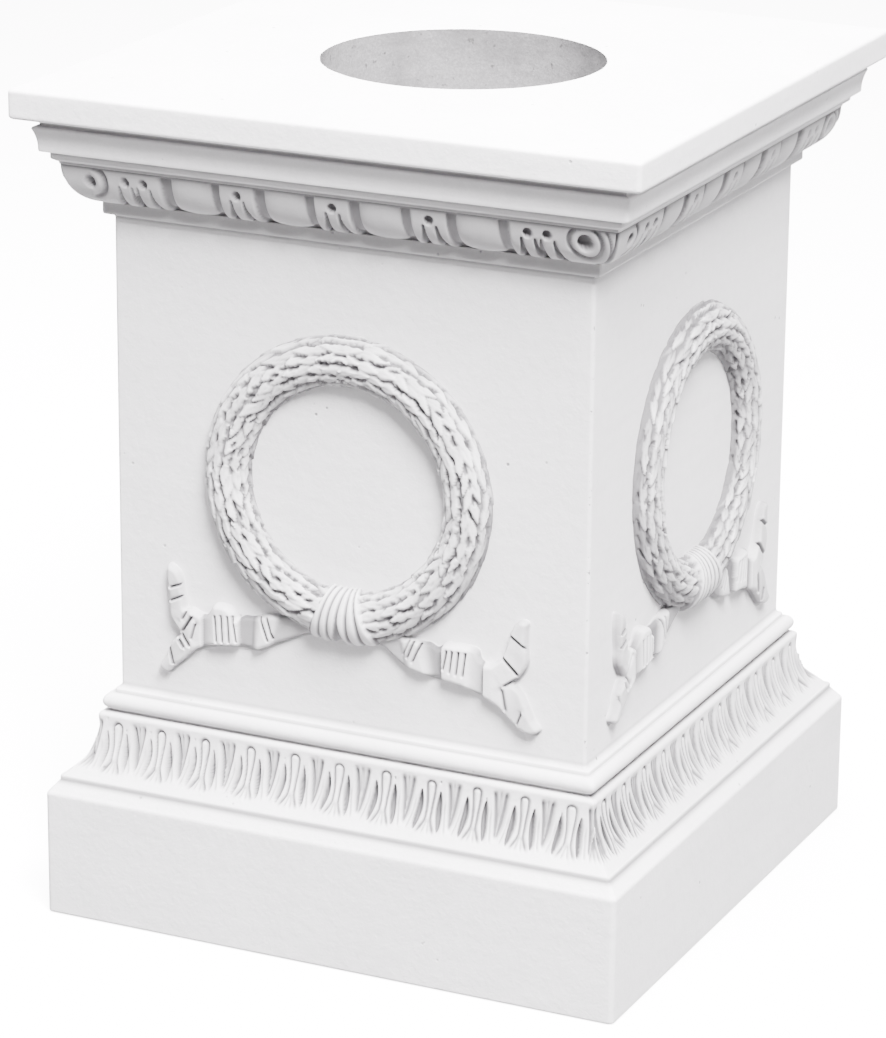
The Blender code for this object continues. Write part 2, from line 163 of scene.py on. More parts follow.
def cast_skin_group():
    """Shader group: the colour, height and roughness of a cast skin, by place on the object.

    The skin has a faint cloudy mottle, streaks along its layers, dapple and fine sand, pinholes where
    air sat against the mould and along its seam, and painted shade, near black where its shade input says,
    in place of the shadow in crevices and under parts.
    """
    group = bpy.data.node_groups.new("cast skin", "ShaderNodeTree")
    for name, kind, value in (("Light", "NodeSocketColor", STONE_WHITE),
                              ("Dark", "NodeSocketColor", STONE_SHADE), ("Painted Shade", "NodeSocketFloat", 0.0)):
        group.interface.new_socket(name=name, in_out="INPUT", socket_type=kind).default_value = value
    for name, kind in (("Colour", "NodeSocketColor"), ("Height", "NodeSocketFloat"),
                       ("Roughness", "NodeSocketFloat")):
        group.interface.new_socket(name=name, in_out="OUTPUT", socket_type=kind)
    given, made = group.nodes.new("NodeGroupInput"), group.nodes.new("NodeGroupOutput")
    place = group.nodes.new("ShaderNodeTexCoord").outputs["Object"]
    layers = add_node(group, "ShaderNodeMapping", "Vector", {"Vector": place, "Scale": (9.0, 9.0, 110.0)})

    cloud = ramp(group, noise(group, place, scale=11.0, detail=4.0), 0.34, 0.68)
    streak = ramp(group, noise(group, layers, scale=1.0, detail=3.0, rough=0.6), 0.38, 0.70)
    dapple = ramp(group, noise(group, place, scale=150.0, detail=3.0, rough=0.6), 0.36, 0.68)
    sand = noise(group, place, scale=620.0, detail=2.0, rough=0.7)
    grain = noise(group, place, scale=1500.0, detail=1.0)

    bubble = add_node(group, "ShaderNodeTexVoronoi", "Distance",
                      {"Vector": place, "Scale": 95.0, "Randomness": 1.0})
    sparse = ramp(group, noise(group, place, scale=26.0, detail=2.0), 0.55, 0.68)
    pinhole = maths(group, "MULTIPLY", ramp(group, bubble, 0.13, 0.05), sparse)
    axes = group.nodes.new("ShaderNodeSeparateXYZ")
    group.links.new(place, axes.inputs["Vector"])
    across, deep, up = (axes.outputs[axis] for axis in "XYZ")
    least = maths(group, "MINIMUM", maths(group, "ABSOLUTE", across), maths(group, "ABSOLUTE", deep))
    seam = maths(group, "MULTIPLY", ramp(group, least, *SEAM_OUT), ramp(group, up, *SEAM_TOP))
    seam = maths(group, "MULTIPLY", seam, ramp(group, up, *SEAM_FOOT))
    strung = maths(group, "MULTIPLY", seam, ramp(group, noise(group, place, 310.0, 1.0), 0.645, 0.70))
    pinhole = maths(group, "MAXIMUM", pinhole, strung)

    mottle = weighed_sum(group, (cloud, 0.30), (streak, 0.26), (dapple, 0.22))
    skin = mix(group, mottle, given.outputs["Light"], given.outputs["Dark"])
    sanded = mix(group, ramp(group, sand, 0.35, 0.75, 0.0, 0.16), skin, SAND_TINT)
    # Painted shade: the skin darkens towards near black as its shade input says, in place of the shadow in
    # crevices and under parts.
    with_painted_shade = mix(group, maths(group, "MULTIPLY", given.outputs["Painted Shade"], 0.93), sanded, PAINTED_SHADE_TINT)
    pitted = mix(group, maths(group, "MULTIPLY", pinhole, 0.85), with_painted_shade, PINHOLE_TINT)
    relief = weighed_sum(group, (sand, 0.40), (grain, 0.15), (dapple, 0.55), (pinhole, -2.2))
    matt = maths(group, "ADD", maths(group, "MULTIPLY", cloud, 0.05), 0.84)
    for result, name in ((pitted, "Colour"), (relief, "Height"), (matt, "Roughness")):
        group.links.new(result, made.inputs[name])
    return group


cast_skin = cast_skin_group()


def stone_base(name):
    """A new material with the cast skin placed in it, and the skin's own relief as a bump's normal."""
    material = bpy.data.materials.new(name)
    material.use_nodes = True
    tree = material.node_tree
    skin = tree.nodes.new("ShaderNodeGroup")
    skin.node_tree = cast_skin
    sockets = {"Height": skin.outputs["Height"], "Strength": BUMP_STRENGTH, "Distance": SKIN_RELIEF}
    normal = add_node(tree, "ShaderNodeBump", "Normal", sockets)
    return material, tree, tree.nodes["Principled BSDF"].inputs, skin, normal


def white_stone(name):
    """White cast stone, matt, and darkened by painted shade where the mesh's shade layer says so."""
    material, tree, shader, skin, normal = stone_base(name)
    painted_shade_amount = add_node(tree, "ShaderNodeAttribute", "Fac", {}, attribute_name=PAINTED_SHADE_LAYER)
    tree.links.new(painted_shade_amount, skin.inputs["Painted Shade"])
    tree.links.new(skin.outputs["Colour"], shader["Base Color"])
    tree.links.new(skin.outputs["Roughness"], shader["Roughness"])
    tree.links.new(normal, shader["Normal"])
    shader["Specular IOR Level"].default_value = 0.25
    return material


def bare_core(name):
    """The bore's wall: grey, rough concrete with lumps, stains and pits, bare of the white facing."""
    material, tree, shader, skin, fine = stone_base(name)
    skin.inputs["Light"].default_value = CORE_LIGHT
    skin.inputs["Dark"].default_value = CORE_DARK
    place = tree.nodes.new("ShaderNodeTexCoord").outputs["Object"]
    lumps = noise(tree, place, scale=38.0, detail=3.0, rough=0.5)
    sockets = {"Height": lumps, "Strength": BUMP_STRENGTH, "Distance": CORE_RELIEF, "Normal": fine}
    normal = add_node(tree, "ShaderNodeBump", "Normal", sockets)
    colour = skin.outputs["Colour"]
    for scale, low, high, strength, dark in CORE_STAINS:
        stain = noise(tree, place, scale, detail=2.0, rough=0.5)
        colour = mix(tree, ramp(tree, stain, low, high, 0.0, strength, "LINEAR"), colour, dark)
    tree.links.new(colour, shader["Base Color"])
    tree.links.new(normal, shader["Normal"])
    shader["Roughness"].default_value = 0.95
    shader["Specular IOR Level"].default_value = 0.2
    return material


cast_stone = white_stone("white cast stone")


def link_piece(name, vertices, face_sets, painted_shade, sharp=None):
    """Make a closed mesh piece in place, ride it on the body and let it stand for the solid."""
    mesh = bpy.data.meshes.new(name)
    mesh.vertices.add(len(vertices))
    mesh.vertices.foreach_set("co", np.asarray(vertices, dtype=np.float32).ravel())
    corners = np.concatenate([faces.ravel() for faces in face_sets]).astype(np.int32)
    sizes = np.concatenate([np.full(len(faces), faces.shape[1]) for faces in face_sets])
    mesh.loops.add(len(corners))
    mesh.loops.foreach_set("vertex_index", corners)
    mesh.polygons.add(len(sizes))
    mesh.polygons.foreach_set("loop_start", (np.cumsum(sizes) - sizes).astype(np.int32))
    mesh.update(calc_edges=True)
    mesh.validate()
    outward = bmesh.new()
    outward.from_mesh(mesh)
    bmesh.ops.recalc_face_normals(outward, faces=outward.faces)
    outward.to_mesh(mesh)
    outward.free()
    # Each point's painted shade, which darkens the stone in place of shadow, goes into a layer the material
    # reads.
    layer = mesh.attributes.new(PAINTED_SHADE_LAYER, "FLOAT", "POINT")
    layer.data.foreach_set("value", np.asarray(painted_shade, dtype=np.float32))
    mesh.shade_smooth()
    if sharp:
        mesh.set_sharp_from_angle(angle=math.radians(sharp))
    mesh.materials.append(cast_stone)
    piece = bpy.data.objects.new(name, mesh)
    bpy.context.scene.collection.objects.link(piece)
    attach(piece, "root")
    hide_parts("pedestal")
    return piece


def rounded(middle_half, middle_z, radius, start, end, steps=5):
    """Points round an arris of the profile, as (half width, height), angles in degrees from outward."""
    angles = np.radians(np.linspace(start, end, steps + 1))
    return [(middle_half + radius * math.cos(a), middle_z + radius * math.sin(a)) for a in angles]


def casting_levels():
    """Profile of the plain members from the underside up, as (half width, height, corner radius)."""
    profile = []

    def member(corner_radius, *points):
        profile.extend((half, z, corner_radius) for half, z in points)

    under, r = UNDERSIDE_ARRIS, PLINTH_ARRIS
    member(r, (PLINTH_HALF - under, 0.0), *rounded(PLINTH_HALF - under, under, under, -60, 0, 3),
           (PLINTH_HALF, 0.004), (PLINTH_HALF, PLINTH_HEIGHT - r - 0.002),
           *rounded(PLINTH_HALF - r, PLINTH_HEIGHT - r, r, 0, 50))
    member(0.0025, (FILLET_HALF + 0.0009, WASH_TOP - 0.0006), (FILLET_HALF, WASH_TOP + 0.0004),
           (FILLET_HALF, FILLET_TOP - 0.0008), (FILLET_HALF - 0.0005, FILLET_TOP - 0.0001),
           (FILLET_HALF - 0.0012, FILLET_TOP), (BACK_HALF, FILLET_TOP),
           (BACK_HALF, CREVICE_BOTTOM - 0.002), (CREVICE_HALF, CREVICE_BOTTOM))
    member(0.003, (CREVICE_HALF, BEAD_BOTTOM),
           *rounded(BEAD_HALF - BEAD_RADIUS, BEAD_BOTTOM + BEAD_RADIUS, BEAD_RADIUS, -85, 82, 12))
    foot, top = FOOT_FILLET_HALF, FOOT_FILLET_TOP
    member(0.0028, (foot + 0.0001, top - 0.0024), (foot, top - 0.0008),
           *rounded(foot - 0.0006, top - 0.0006, 0.0006, 20, 80, 2))
    member(0.0024, *((SHAFT_HALF + (foot - 0.0008 - SHAFT_HALF) * (1 - math.sin(a)),
                      top + (SHAFT_BOTTOM - top) * (1 - math.cos(a)))
                     for a in np.radians(np.linspace(15, 90, 6))),
           (SHAFT_HALF, SHAFT_BOTTOM + 0.002), (SHAFT_HALF, SHAFT_TOP - 0.002),
           (SHAFT_HALF, SHAFT_TOP), (SHAFT_HALF + 0.0004, SHAFT_TOP + 0.0012),
           (SHAFT_HALF + 0.0015, SHAFT_TOP + 0.0021), (NECK_HALF - 0.0012, NECK_BOTTOM - 0.0002),
           (NECK_HALF - 0.0003, NECK_BOTTOM + 0.0002), (NECK_HALF, NECK_BOTTOM + 0.001),
           (NECK_HALF, NECK_TOP - 0.0004), (NECK_HALF - 0.0006, NECK_TOP),
           (BACK_HALF, NECK_TOP), (BACK_HALF, OVOLO_TOP + 0.0004))
    lean, lip = FASCIA_HIGH_HALF - FASCIA_LOW_HALF, FASCIA_LIP
    member(0.0022, (OVOLO_HALF + 0.0002, OVOLO_TOP + 0.0004), (OVOLO_HALF + 0.0006, OVOLO_TOP + 0.0018),
           (OVOLO_HALF + 0.0022, OVOLO_TOP + 0.0027), (CAP_FILLET_HALF - 0.0004, OVOLO_TOP + 0.0036),
           (CAP_FILLET_HALF, OVOLO_TOP + 0.0043), (CAP_FILLET_HALF, FASCIA_BOTTOM - 0.0012),
           (CAP_FILLET_HALF + 0.0006, FASCIA_BOTTOM - 0.0002), (FASCIA_LOW_HALF - 0.0012, FASCIA_BOTTOM),
           (FASCIA_LOW_HALF - 0.0003, FASCIA_BOTTOM + 0.0003), (FASCIA_LOW_HALF, FASCIA_BOTTOM + lip),
           *((FASCIA_LOW_HALF + lean * s ** 2.2,
              FASCIA_BOTTOM + lip + (FASCIA_TOP - FASCIA_BOTTOM - lip) * s)
             for s in np.linspace(0.15, 1.0, 7)),
           (FASCIA_HIGH_HALF - 0.0004, FASCIA_TOP + 0.0008),
           (FASCIA_HIGH_HALF - 0.0014, FASCIA_TOP + 0.0012),
           (RECESS_HALF + 0.0005, FASCIA_TOP + 0.0014), (RECESS_HALF, FASCIA_TOP + 0.0018),
           *((RECESS_HALF + (COVE_HALF - RECESS_HALF) * (1 - math.cos(a)),
              FASCIA_TOP + COVE_START + (SLAB_BOTTOM - FASCIA_TOP - COVE_START) * math.sin(a))
             for a in np.radians(np.linspace(0, 90, 6))))
    r = SLAB_ARRIS
    member(0.003, *rounded(slab_half - r, SLAB_BOTTOM + r, r, -90, 0),
           (slab_half, SLAB_BOTTOM + r + 0.002), (slab_half, pedestal_height - r - 0.002),
           *rounded(slab_half - r, pedestal_height - r, r, 0, 90), (slab_half - r - 0.002, pedestal_height))
    return profile


def plan_ring(half, radius):
    """One square ring with rounded corners, anticlockwise from the front left corner's middle."""
    side = [(-half + radius - radius * math.sin(a), -half + radius - radius * math.cos(a))
            for a in np.radians(np.linspace(45, 0, CORNER_STEPS + 1))]
    inner = half - radius
    side += [(x, -half) for x in np.linspace(-inner + 0.0015, inner - 0.0015, SIDE_STEPS + 1)]
    side += [(inner + radius * math.sin(a), -half + radius - radius * math.cos(a))
             for a in np.radians(np.linspace(0, 45, CORNER_STEPS + 1))][:-1]
    ring = []
    for turn in range(4):
        c, s = (1, 0, -1, 0)[turn], (0, 1, 0, -1)[turn]
        ring += [(x * c - y * s, x * s + y * c) for x, y in side]
    return np.array(ring)


def closer_levels(points, step):
    """The profile with points added, so that only the plain faces' are further apart than the step."""
    close = [points[0]]
    for start, end in zip(points[:-1], points[1:]):
        length = math.hypot(end[0] - start[0], end[1] - start[1])
        pieces = 1 if length > PLAIN_FACE else max(1, math.ceil(length / step))
        close += [tuple(a + (b - a) * i / pieces for a, b in zip(start, end))
                  for i in range(1, pieces + 1)]
    return close


# The mesh: square rings from the underside up to the slab, then round ones in over the bore's rim,
# which is a little chipped, and down its wall to the underside again.
levels = closer_levels(casting_levels(), LEVEL_STEP)
ring_size = len(plan_ring(slab_half, SLAB_ARRIS))
rings = [np.column_stack([plan_ring(half, radius), np.full(ring_size, z)]) for half, z, radius in levels]
angles = -0.75 * math.pi + 2 * math.pi * np.arange(ring_size) / ring_size
circle = np.column_stack([np.cos(angles), np.sin(angles)])
bore_random = np.random.default_rng(11)


def rough_round(width):
    """Seeded unevenness round the bore, blurred over so many points."""
    uneven = np.tile(bore_random.normal(0, 1, ring_size), 3)
    return BORE_ROUGH * np.convolve(uneven, np.ones(width) / width, "same")[ring_size:2 * ring_size, None]


def bore_ring(radius, z):
    return np.column_stack([circle * radius, np.full(ring_size, z)])


chips = rough_round(3)
rings += [bore_ring(BORE_RADIUS + out + chips * (out < 0.001), pedestal_height + up)
          for out, up in BORE_RIM]
top_of_wall = len(rings) - 1
down = [-0.003, -0.012] + list(-np.linspace(0.03, pedestal_height - 0.03, 22)) + [-pedestal_height + 0.012]
rings += [bore_ring(BORE_RADIUS + BORE_ROUGH + rough_round(4), pedestal_height + up) for up in down]
rings += [bore_ring(BORE_RADIUS, 0.001), bore_ring(BORE_RADIUS + 0.001, 0.0)]
count = len(rings)
first = np.arange(ring_size)
after = (first + 1) % ring_size
strips = [np.column_stack([low + first, low + after, high + after, high + first])
          for low, high in ((i * ring_size, (i + 1) % count * ring_size) for i in range(count))]
# Painted shade of the casting: dark round each crease in place of its shadow, halved on the cap's right
# face.
painted_shade = np.zeros((count, ring_size))
for i, (half, z, _) in enumerate(levels):
    painted_shade[i] = max(strength * math.exp(-((half - at) ** 2 + (z - up) ** 2) / reach ** 2)
                   for at, up, reach, strength in CREASES)
    if SHAFT_TOP < z < SLAB_BOTTOM:
        painted_shade[i, ring_size // 4:ring_size // 2] *= RIGHT_CAP_PAINTED_SHADE
casting = link_piece("casting", np.vstack(rings), [np.vstack(strips)], painted_shade.ravel(), sharp=50)
casting.data.materials.append(bare_core("bare core"))
wall = np.zeros(count * ring_size, dtype=np.int32)
wall[top_of_wall * ring_size:(count - 2) * ring_size] = 1
casting.data.polygons.foreach_set("material_index", wall)

# Leaf band: eleven upright leaves a side on a cavetto that flares to the fillet, cast with the plinth in
# the same stone. Each is a looped stem between two deep slots, with grooves that meet in a V between
# leaves and a veined leaf at each corner.
LEAF_LOW, LEAF_HIGH = FILLET_TOP - 0.0005, 0.128
LEAF_TOP_HALF, LEAF_LIP, LEAF_LIP_DEPTH = 0.166, 0.0022, 0.0025
LEAF_COUNT = 11
LEAF_PITCH = 2.02 * LEAF_TOP_HALF / LEAF_COUNT
LEAF_FLARE = 2.4
BAND_BACK = 0.152
# The last two: how deep a hollow in the carving sinks to be fully darkened with painted shade, and how
# strongly.
MITRE_WIDTH, MITRE_FALL, CAVITY_DEPTH, CAVITY_PAINTED_SHADE = 0.003, 0.0008, 0.0006, 0.4
FACES = ("front", "right", "back", "left")
# For each face in turn: the mesh's columns, how much the painted shade in the carving is made stronger,
# and how much painted shade lies all over; the right face is darkened most, in place of its shade.
LEAF_COLUMNS, LEAF_PAINTED_SHADE_GAIN, LEAF_PAINTED_SHADE_BASE = (640, 640, 440, 440), (1.0, 1.30, 1.1, 1.1), (0.0, 0.11, 0.0, 0.0)


def smoothstep(low, high, value):
    """0 up to low and 1 from high on, with a smooth rise between; low may be the greater."""
    share = np.clip((value - low) / (high - low), 0.0, 1.0)
    return share * share * (3 - 2 * share)


def quarter_turn(points, turn):
    """Points carried from the front face round to the face that is so many quarter turns on."""
    c, s = (1, 0, -1, 0)[turn], (0, 1, 0, -1)[turn]
    x, y = points[..., 0], points[..., 1]
    return np.stack([x * c - y * s, x * s + y * c, points[..., 2]], -1)


def soften(field, steps, round_about=False):
    """Blur a grid along both ways by a few steps; round_about joins the ends of the rows."""
    for _ in range(steps):
        for axis in (0, 1):
            if axis == 1 and round_about:
                low, high = np.roll(field, 1, 1), np.roll(field, -1, 1)
            else:
                last = field.shape[axis] - 1
                low = np.take(field, np.maximum(np.arange(field.shape[axis]) - 1, 0), axis)
                high = np.take(field, np.minimum(np.arange(field.shape[axis]) + 1, last), axis)
            field = (low + 2 * field + high) / 4
    return field


def groove(distance, width):
    """A rounded cut: 1 at its middle, nearly 0 beyond twice its width."""
    return np.exp(-(distance / width) ** 2 * 1.6)


def band_side(curve, relief, columns, turn):
    """One side of a carved band between its mitres: the curve's levels, cut inward by the relief.

    A relief gives the depth and painted shade of each point from its place along the side, its share of
    the way up the carving, the band's half width and height there, and the face's number of quarter turns.
    """
    halves, heights, rises, painted_shade = (np.asarray(values)[:, None] for values in curve)
    slope_half, slope_z = np.gradient(halves, axis=0), np.gradient(heights, axis=0)
    length = np.hypot(slope_half, slope_z)
    out_half, out_z = slope_z / length, -slope_half / length
    share = np.linspace(-1, 1, columns)[None, :]
    along = share * halves
    depth, shade = relief(along, rises + 0 * along, halves + 0 * along, heights + 0 * along, turn)
    edge = np.clip((np.abs(along) - halves + MITRE_WIDTH) / MITRE_WIDTH, 0, 1)
    half = halves - depth * out_half - MITRE_FALL * edge ** 2
    grid = np.stack([share * half, -half, heights - depth * out_z], -1)
    behind = np.stack([np.stack([share[0] * BAND_BACK, 0 * share[0] - BAND_BACK, 0 * share[0] + z], -1)
                       for z in (heights[-1, 0], heights[0, 0])])
    points = np.concatenate([grid, behind])
    rows = len(points)
    i, j = np.meshgrid(np.arange(rows), np.arange(columns - 1), indexing="ij")
    wrap = (i + 1) % rows
    faces = np.stack([i * columns + j, i * columns + j + 1, wrap * columns + j + 1, wrap * columns + j], -1)
    ends = np.stack([np.arange(rows) * columns, np.arange(rows) * columns + columns - 1])
    # Painted shade: darker where the carving sinks below its surroundings, as shadow there, added to the
    # relief's and the curve's.
    shade = shade + np.clip((depth - soften(depth, 6)) / CAVITY_DEPTH, 0, 1) * CAVITY_PAINTED_SHADE + painted_shade
    shade = np.concatenate([np.clip(shade, 0, 1), np.zeros((2, columns))])
    return quarter_turn(points, turn).reshape(-1, 3), [faces.reshape(-1, 4), ends], shade.ravel()


def leaf_curve():
    """Levels of the leaf band: half width, height, share of the way up the carving, and painted shade."""
    rise = np.linspace(0, 1, 50)
    half = LEAF_TOP_HALF + (1 - rise) ** LEAF_FLARE * (FILLET_HALF - 0.0012 - LEAF_TOP_HALF)
    z = LEAF_LOW + rise * (LEAF_HIGH - LEAF_LIP - LEAF_LOW)
    travel = np.concatenate([[0], np.cumsum(np.hypot(np.diff(half), np.diff(z)))])
    lip = np.radians([18, 40, 62, 88])
    half = np.concatenate([half, LEAF_TOP_HALF - LEAF_LIP_DEPTH + LEAF_LIP_DEPTH * np.cos(lip),
                           [LEAF_TOP_HALF - 0.005, CREVICE_HALF - 0.002]])
    z = np.concatenate([z, LEAF_HIGH - LEAF_LIP + LEAF_LIP * np.sin(lip), [LEAF_HIGH, LEAF_HIGH - 0.0004]])
    share = np.concatenate([travel / travel[-1], np.ones(6)])
    # Painted shade: faint over the band, dark at the lip under the bead, in place of the crevice's shadow.
    return half, z, share, np.concatenate([np.full(len(share) - 3, 0.05), [0.10, 0.45, 0.6]])


leaf_jitter = np.random.default_rng(5).normal(0, 1, (4, LEAF_COUNT, 5))


def leaf_relief(along, rise, half, height, turn):
    """Depth and painted shade of the leaf carving: stems, slots, the V between leaves, the corner leaf's
    veins.
    """
    cell = along / LEAF_PITCH + LEAF_COUNT / 2
    index = np.clip(np.floor(cell).astype(int), 0, LEAF_COUNT - 1)
    jitter = leaf_jitter[turn][index]
    off = (cell - index - 0.5) * LEAF_PITCH + 0.0004 * jitter[..., 0]
    side = np.abs(off)
    top = 0.860 + 0.010 * jitter[..., 1]
    radius = 0.0029 + 0.0002 * jitter[..., 2]
    stem = radius - 0.0010 * smoothstep(top, 0.50, rise) + 0.0040 * smoothstep(0.40, 0.10, rise)
    ring = np.abs(np.hypot(off, (rise - top) * 0.043) - radius)
    line = np.where(rise > top, groove(ring, 0.0011),
                    groove(side - stem, 0.0011 + 0.0006 * smoothstep(0.4, 0.15, rise)))
    line *= smoothstep(0.10, 0.26, rise) * np.clip(1.0 + 0.18 * jitter[..., 3], 0.5, 1.2)
    split = 0.0024 * np.clip((0.38 - rise) / 0.26, 0, 1)
    foot = groove(side - split, 0.0011) * smoothstep(0.40, 0.32, rise) * smoothstep(0.10, 0.22, rise)
    middle = 0.0064 + 0.0017 * smoothstep(0.60, 0.15, rise) + 0.0002 * jitter[..., 4]
    belly = np.sin(math.pi * np.clip((rise - 0.16) / 0.62, 0, 1)) ** 0.7
    slot = 1 - smoothstep(0.20, 1.20, np.abs(side - middle) / (0.0023 * belly + 1e-5))
    slot *= smoothstep(0.16, 0.27, rise)
    outer = groove(side - 0.0097 - 0.0028 * smoothstep(0.55, 0.12, rise), 0.0008)
    outer *= smoothstep(0.14, 0.26, rise) * smoothstep(0.70, 0.52, rise)
    between = LEAF_PITCH / 2 - side
    vee_place = 0.0037 * np.clip((rise - 0.28) / 0.64, 0, 1)
    vee = groove(between - vee_place, 0.0019) * smoothstep(0.20, 0.34, rise) * smoothstep(0.97, 0.86, rise)
    core = groove(between, 0.0011) * smoothstep(0.50, 0.62, rise) * smoothstep(0.97, 0.88, rise)
    swell = groove(side - 0.0108, 0.0020) * smoothstep(0.25, 0.45, rise) * smoothstep(0.98, 0.88, rise)
    leaf = (0.0016 * line + 0.0013 * foot + 0.0048 * slot + 0.0011 * outer + 0.0025 * vee + 0.0010 * core
            - 0.0004 * swell)
    broad = groove(side - middle, 0.0048) * belly
    broad = broad + 0.8 * groove(between, 0.0050) * smoothstep(0.30, 0.50, rise)
    lee = 1 - 0.45 * smoothstep(-0.0005, 0.0022, side - middle)
    # Painted shade in the lines, slots, V and grooves, darker on the stem side of each slot, and broadly
    # round them.
    painted_shade = (0.85 * line + 0.35 * foot + 1.0 * slot * lee + 0.25 * outer + 0.58 * vee + 0.30 * core
             + 0.33 * broad)
    start = LEAF_COUNT / 2 * LEAF_PITCH
    spread = (np.abs(along) - start) / np.maximum(half - start, 0.0015)
    veins = sum(groove((spread - at) * np.maximum(half - start, 0.004), 0.0016)
                for at in (0.06, 0.40, 0.78))
    veins = veins * smoothstep(0.12, 0.30, rise) * smoothstep(0.66, 0.46, rise)
    on_leaf = np.abs(along) < start
    fade = smoothstep(1.0, 0.985, rise)
    return np.where(on_leaf, leaf, 0.0020 * veins) * fade, np.where(on_leaf, painted_shade, 0.60 * veins) * fade


for turn, face in enumerate(FACES):
    points, faces, shade = band_side(leaf_curve(), leaf_relief, LEAF_COLUMNS[turn], turn)
    with_painted_shade = np.clip(shade * LEAF_PAINTED_SHADE_GAIN[turn] + LEAF_PAINTED_SHADE_BASE[turn], 0, 1)
    link_piece("leaf_band_" + face, points, faces, with_painted_shade)

# Egg and dart: four eggs a side in U-shaped channels on a quarter round, cast with the cap in the same
# stone. Drilled darts stand between them, with a pair of darts at each end and a pierced curl that
# meets its neighbour at the corner.
EGG_COUNT, EGG_PITCH, EGG_HALF = 4, 0.0615, 0.0136
PAIR_STEP = 0.012
HOLE_RADIUS, HOLE_UP = 0.0027, OVOLO_TOP - 0.0066
CURL_PLACE, CURL_UP, CURL_RADIUS = 0.1585, OVOLO_TOP - 0.0085, 0.0102
LEFT_EYE, RIGHT_EYE = 0.0036, 0.0049
EGG_COLUMNS = (600, 600, 400, 400)


def ovolo_curve():
    """Levels of the quarter round under the fillet, the share of the way up its arc, and painted shade."""
    turn = np.radians(np.linspace(-88, 0, 46))
    half = NECK_HALF - 0.0022 + (OVOLO_HALF - NECK_HALF + 0.0022) * np.cos(turn)
    z = OVOLO_TOP + (OVOLO_TOP - NECK_TOP + 0.0004) * np.sin(turn)
    travel = np.concatenate([[0], np.cumsum(np.hypot(np.diff(half), np.diff(z)))])
    share = np.concatenate([travel / travel[-1], [1.0]])
    return (np.concatenate([half, [OVOLO_HALF]]), np.concatenate([z, [OVOLO_TOP + 0.0009]]), share,
            # Painted shade: broad under the slab, darker at the arc's foot and top, in place of the shadow
            # there.
            0.62 + 0.38 * smoothstep(0.12, 0.01, share) + 0.38 * smoothstep(0.95, 1.0, share))


def egg_relief(along, rise, half, height, turn):
    """Depth and painted shade of the egg-and-dart on the quarter round, with a painted highlight on each
    egg.
    """
    eggs = [(i - (EGG_COUNT - 1) / 2) * EGG_PITCH for i in range(EGG_COUNT)]
    last = eggs[-1] + EGG_PITCH / 2
    darts = [centre + EGG_PITCH / 2 for centre in eggs[:-1]]
    darts += [s * (last + step) for s in (-1, 1) for step in (0, PAIR_STEP)]
    depth, shade = 0.0 * along, 0.0 * along
    for centre in eggs:
        out = np.hypot((along - centre) / EGG_HALF, np.clip((0.46 - rise) / 0.86, 0, 1))
        channel = smoothstep(0.88, 1.10, out) * smoothstep(1.50, 1.36, out)
        egg = 0.0018 * np.clip(out, 0, 1) ** 3 * smoothstep(1.50, 1.36, out)
        depth = np.maximum(depth, np.where(out < 1.5, egg + 0.0012 * channel, 0))
        # Painted shade in each channel, and a painted highlight that lightens the middle of each egg.
        shade = shade + np.where(out < 1.5, 0.50 * channel - 0.36 * (1 - np.clip(out, 0, 1) ** 2), 0)
    for centre in darts:
        from_hole = np.hypot(along - centre, height - HOLE_UP)
        hole = smoothstep(HOLE_RADIUS + 0.0005, HOLE_RADIUS - 0.0006, from_hole)
        depth = np.maximum(depth, 0.0050 * hole)
        shade = np.maximum(shade, hole)
        for side in (-1, 1):
            middle = 0.0042 + 0.0018 * smoothstep(0.70, 0.0, rise)
            width = 0.0010 + 0.0017 * smoothstep(0.72, 0.20, rise)
            slit = 1 - smoothstep(0.45, 1.1, np.abs(side * (along - centre) - middle) / width)
            slit *= smoothstep(0.74, 0.64, rise)
            depth = np.maximum(depth, 0.0040 * slit)
            shade = np.maximum(shade, 0.95 * slit)
    where = np.hypot(np.abs(along) - CURL_PLACE, height - CURL_UP)
    eye = np.where(along > 0, RIGHT_EYE, LEFT_EYE)
    hole = smoothstep(eye + 0.0006, eye - 0.0009, where)
    inward = np.where(along > 0, 1.0, smoothstep(0.002, -0.004, np.abs(along) - CURL_PLACE))
    rim = groove(where - CURL_RADIUS, 0.0017) * smoothstep(0.02, 0.10, rise) * inward
    roll = groove(where - (CURL_RADIUS + eye) / 2, 0.0022) * inward
    outer = groove(where - CURL_RADIUS - 0.0052, 0.0011) * (along > CURL_PLACE)
    outer = outer * smoothstep(0.02, 0.12, rise)
    mitre = groove(half - np.abs(along), 0.0012)
    depth = np.maximum.reduce([depth, 0.0060 * hole, 0.0026 * rim, 0.0014 * outer])
    depth = depth - 0.0006 * roll * (1 - hole) + 0.0018 * mitre
    shade = np.maximum.reduce([shade, hole, 0.9 * rim, 0.55 * outer, 0.8 * mitre])
    fade = smoothstep(1.0, 0.97, rise)
    return depth * fade * smoothstep(-0.02, 0.04, rise), shade * fade


for turn, face in enumerate(FACES):
    points, faces, shade = band_side(ovolo_curve(), egg_relief, EGG_COLUMNS[turn], turn)
    link_piece("egg_and_dart_" + face, points, faces, shade)

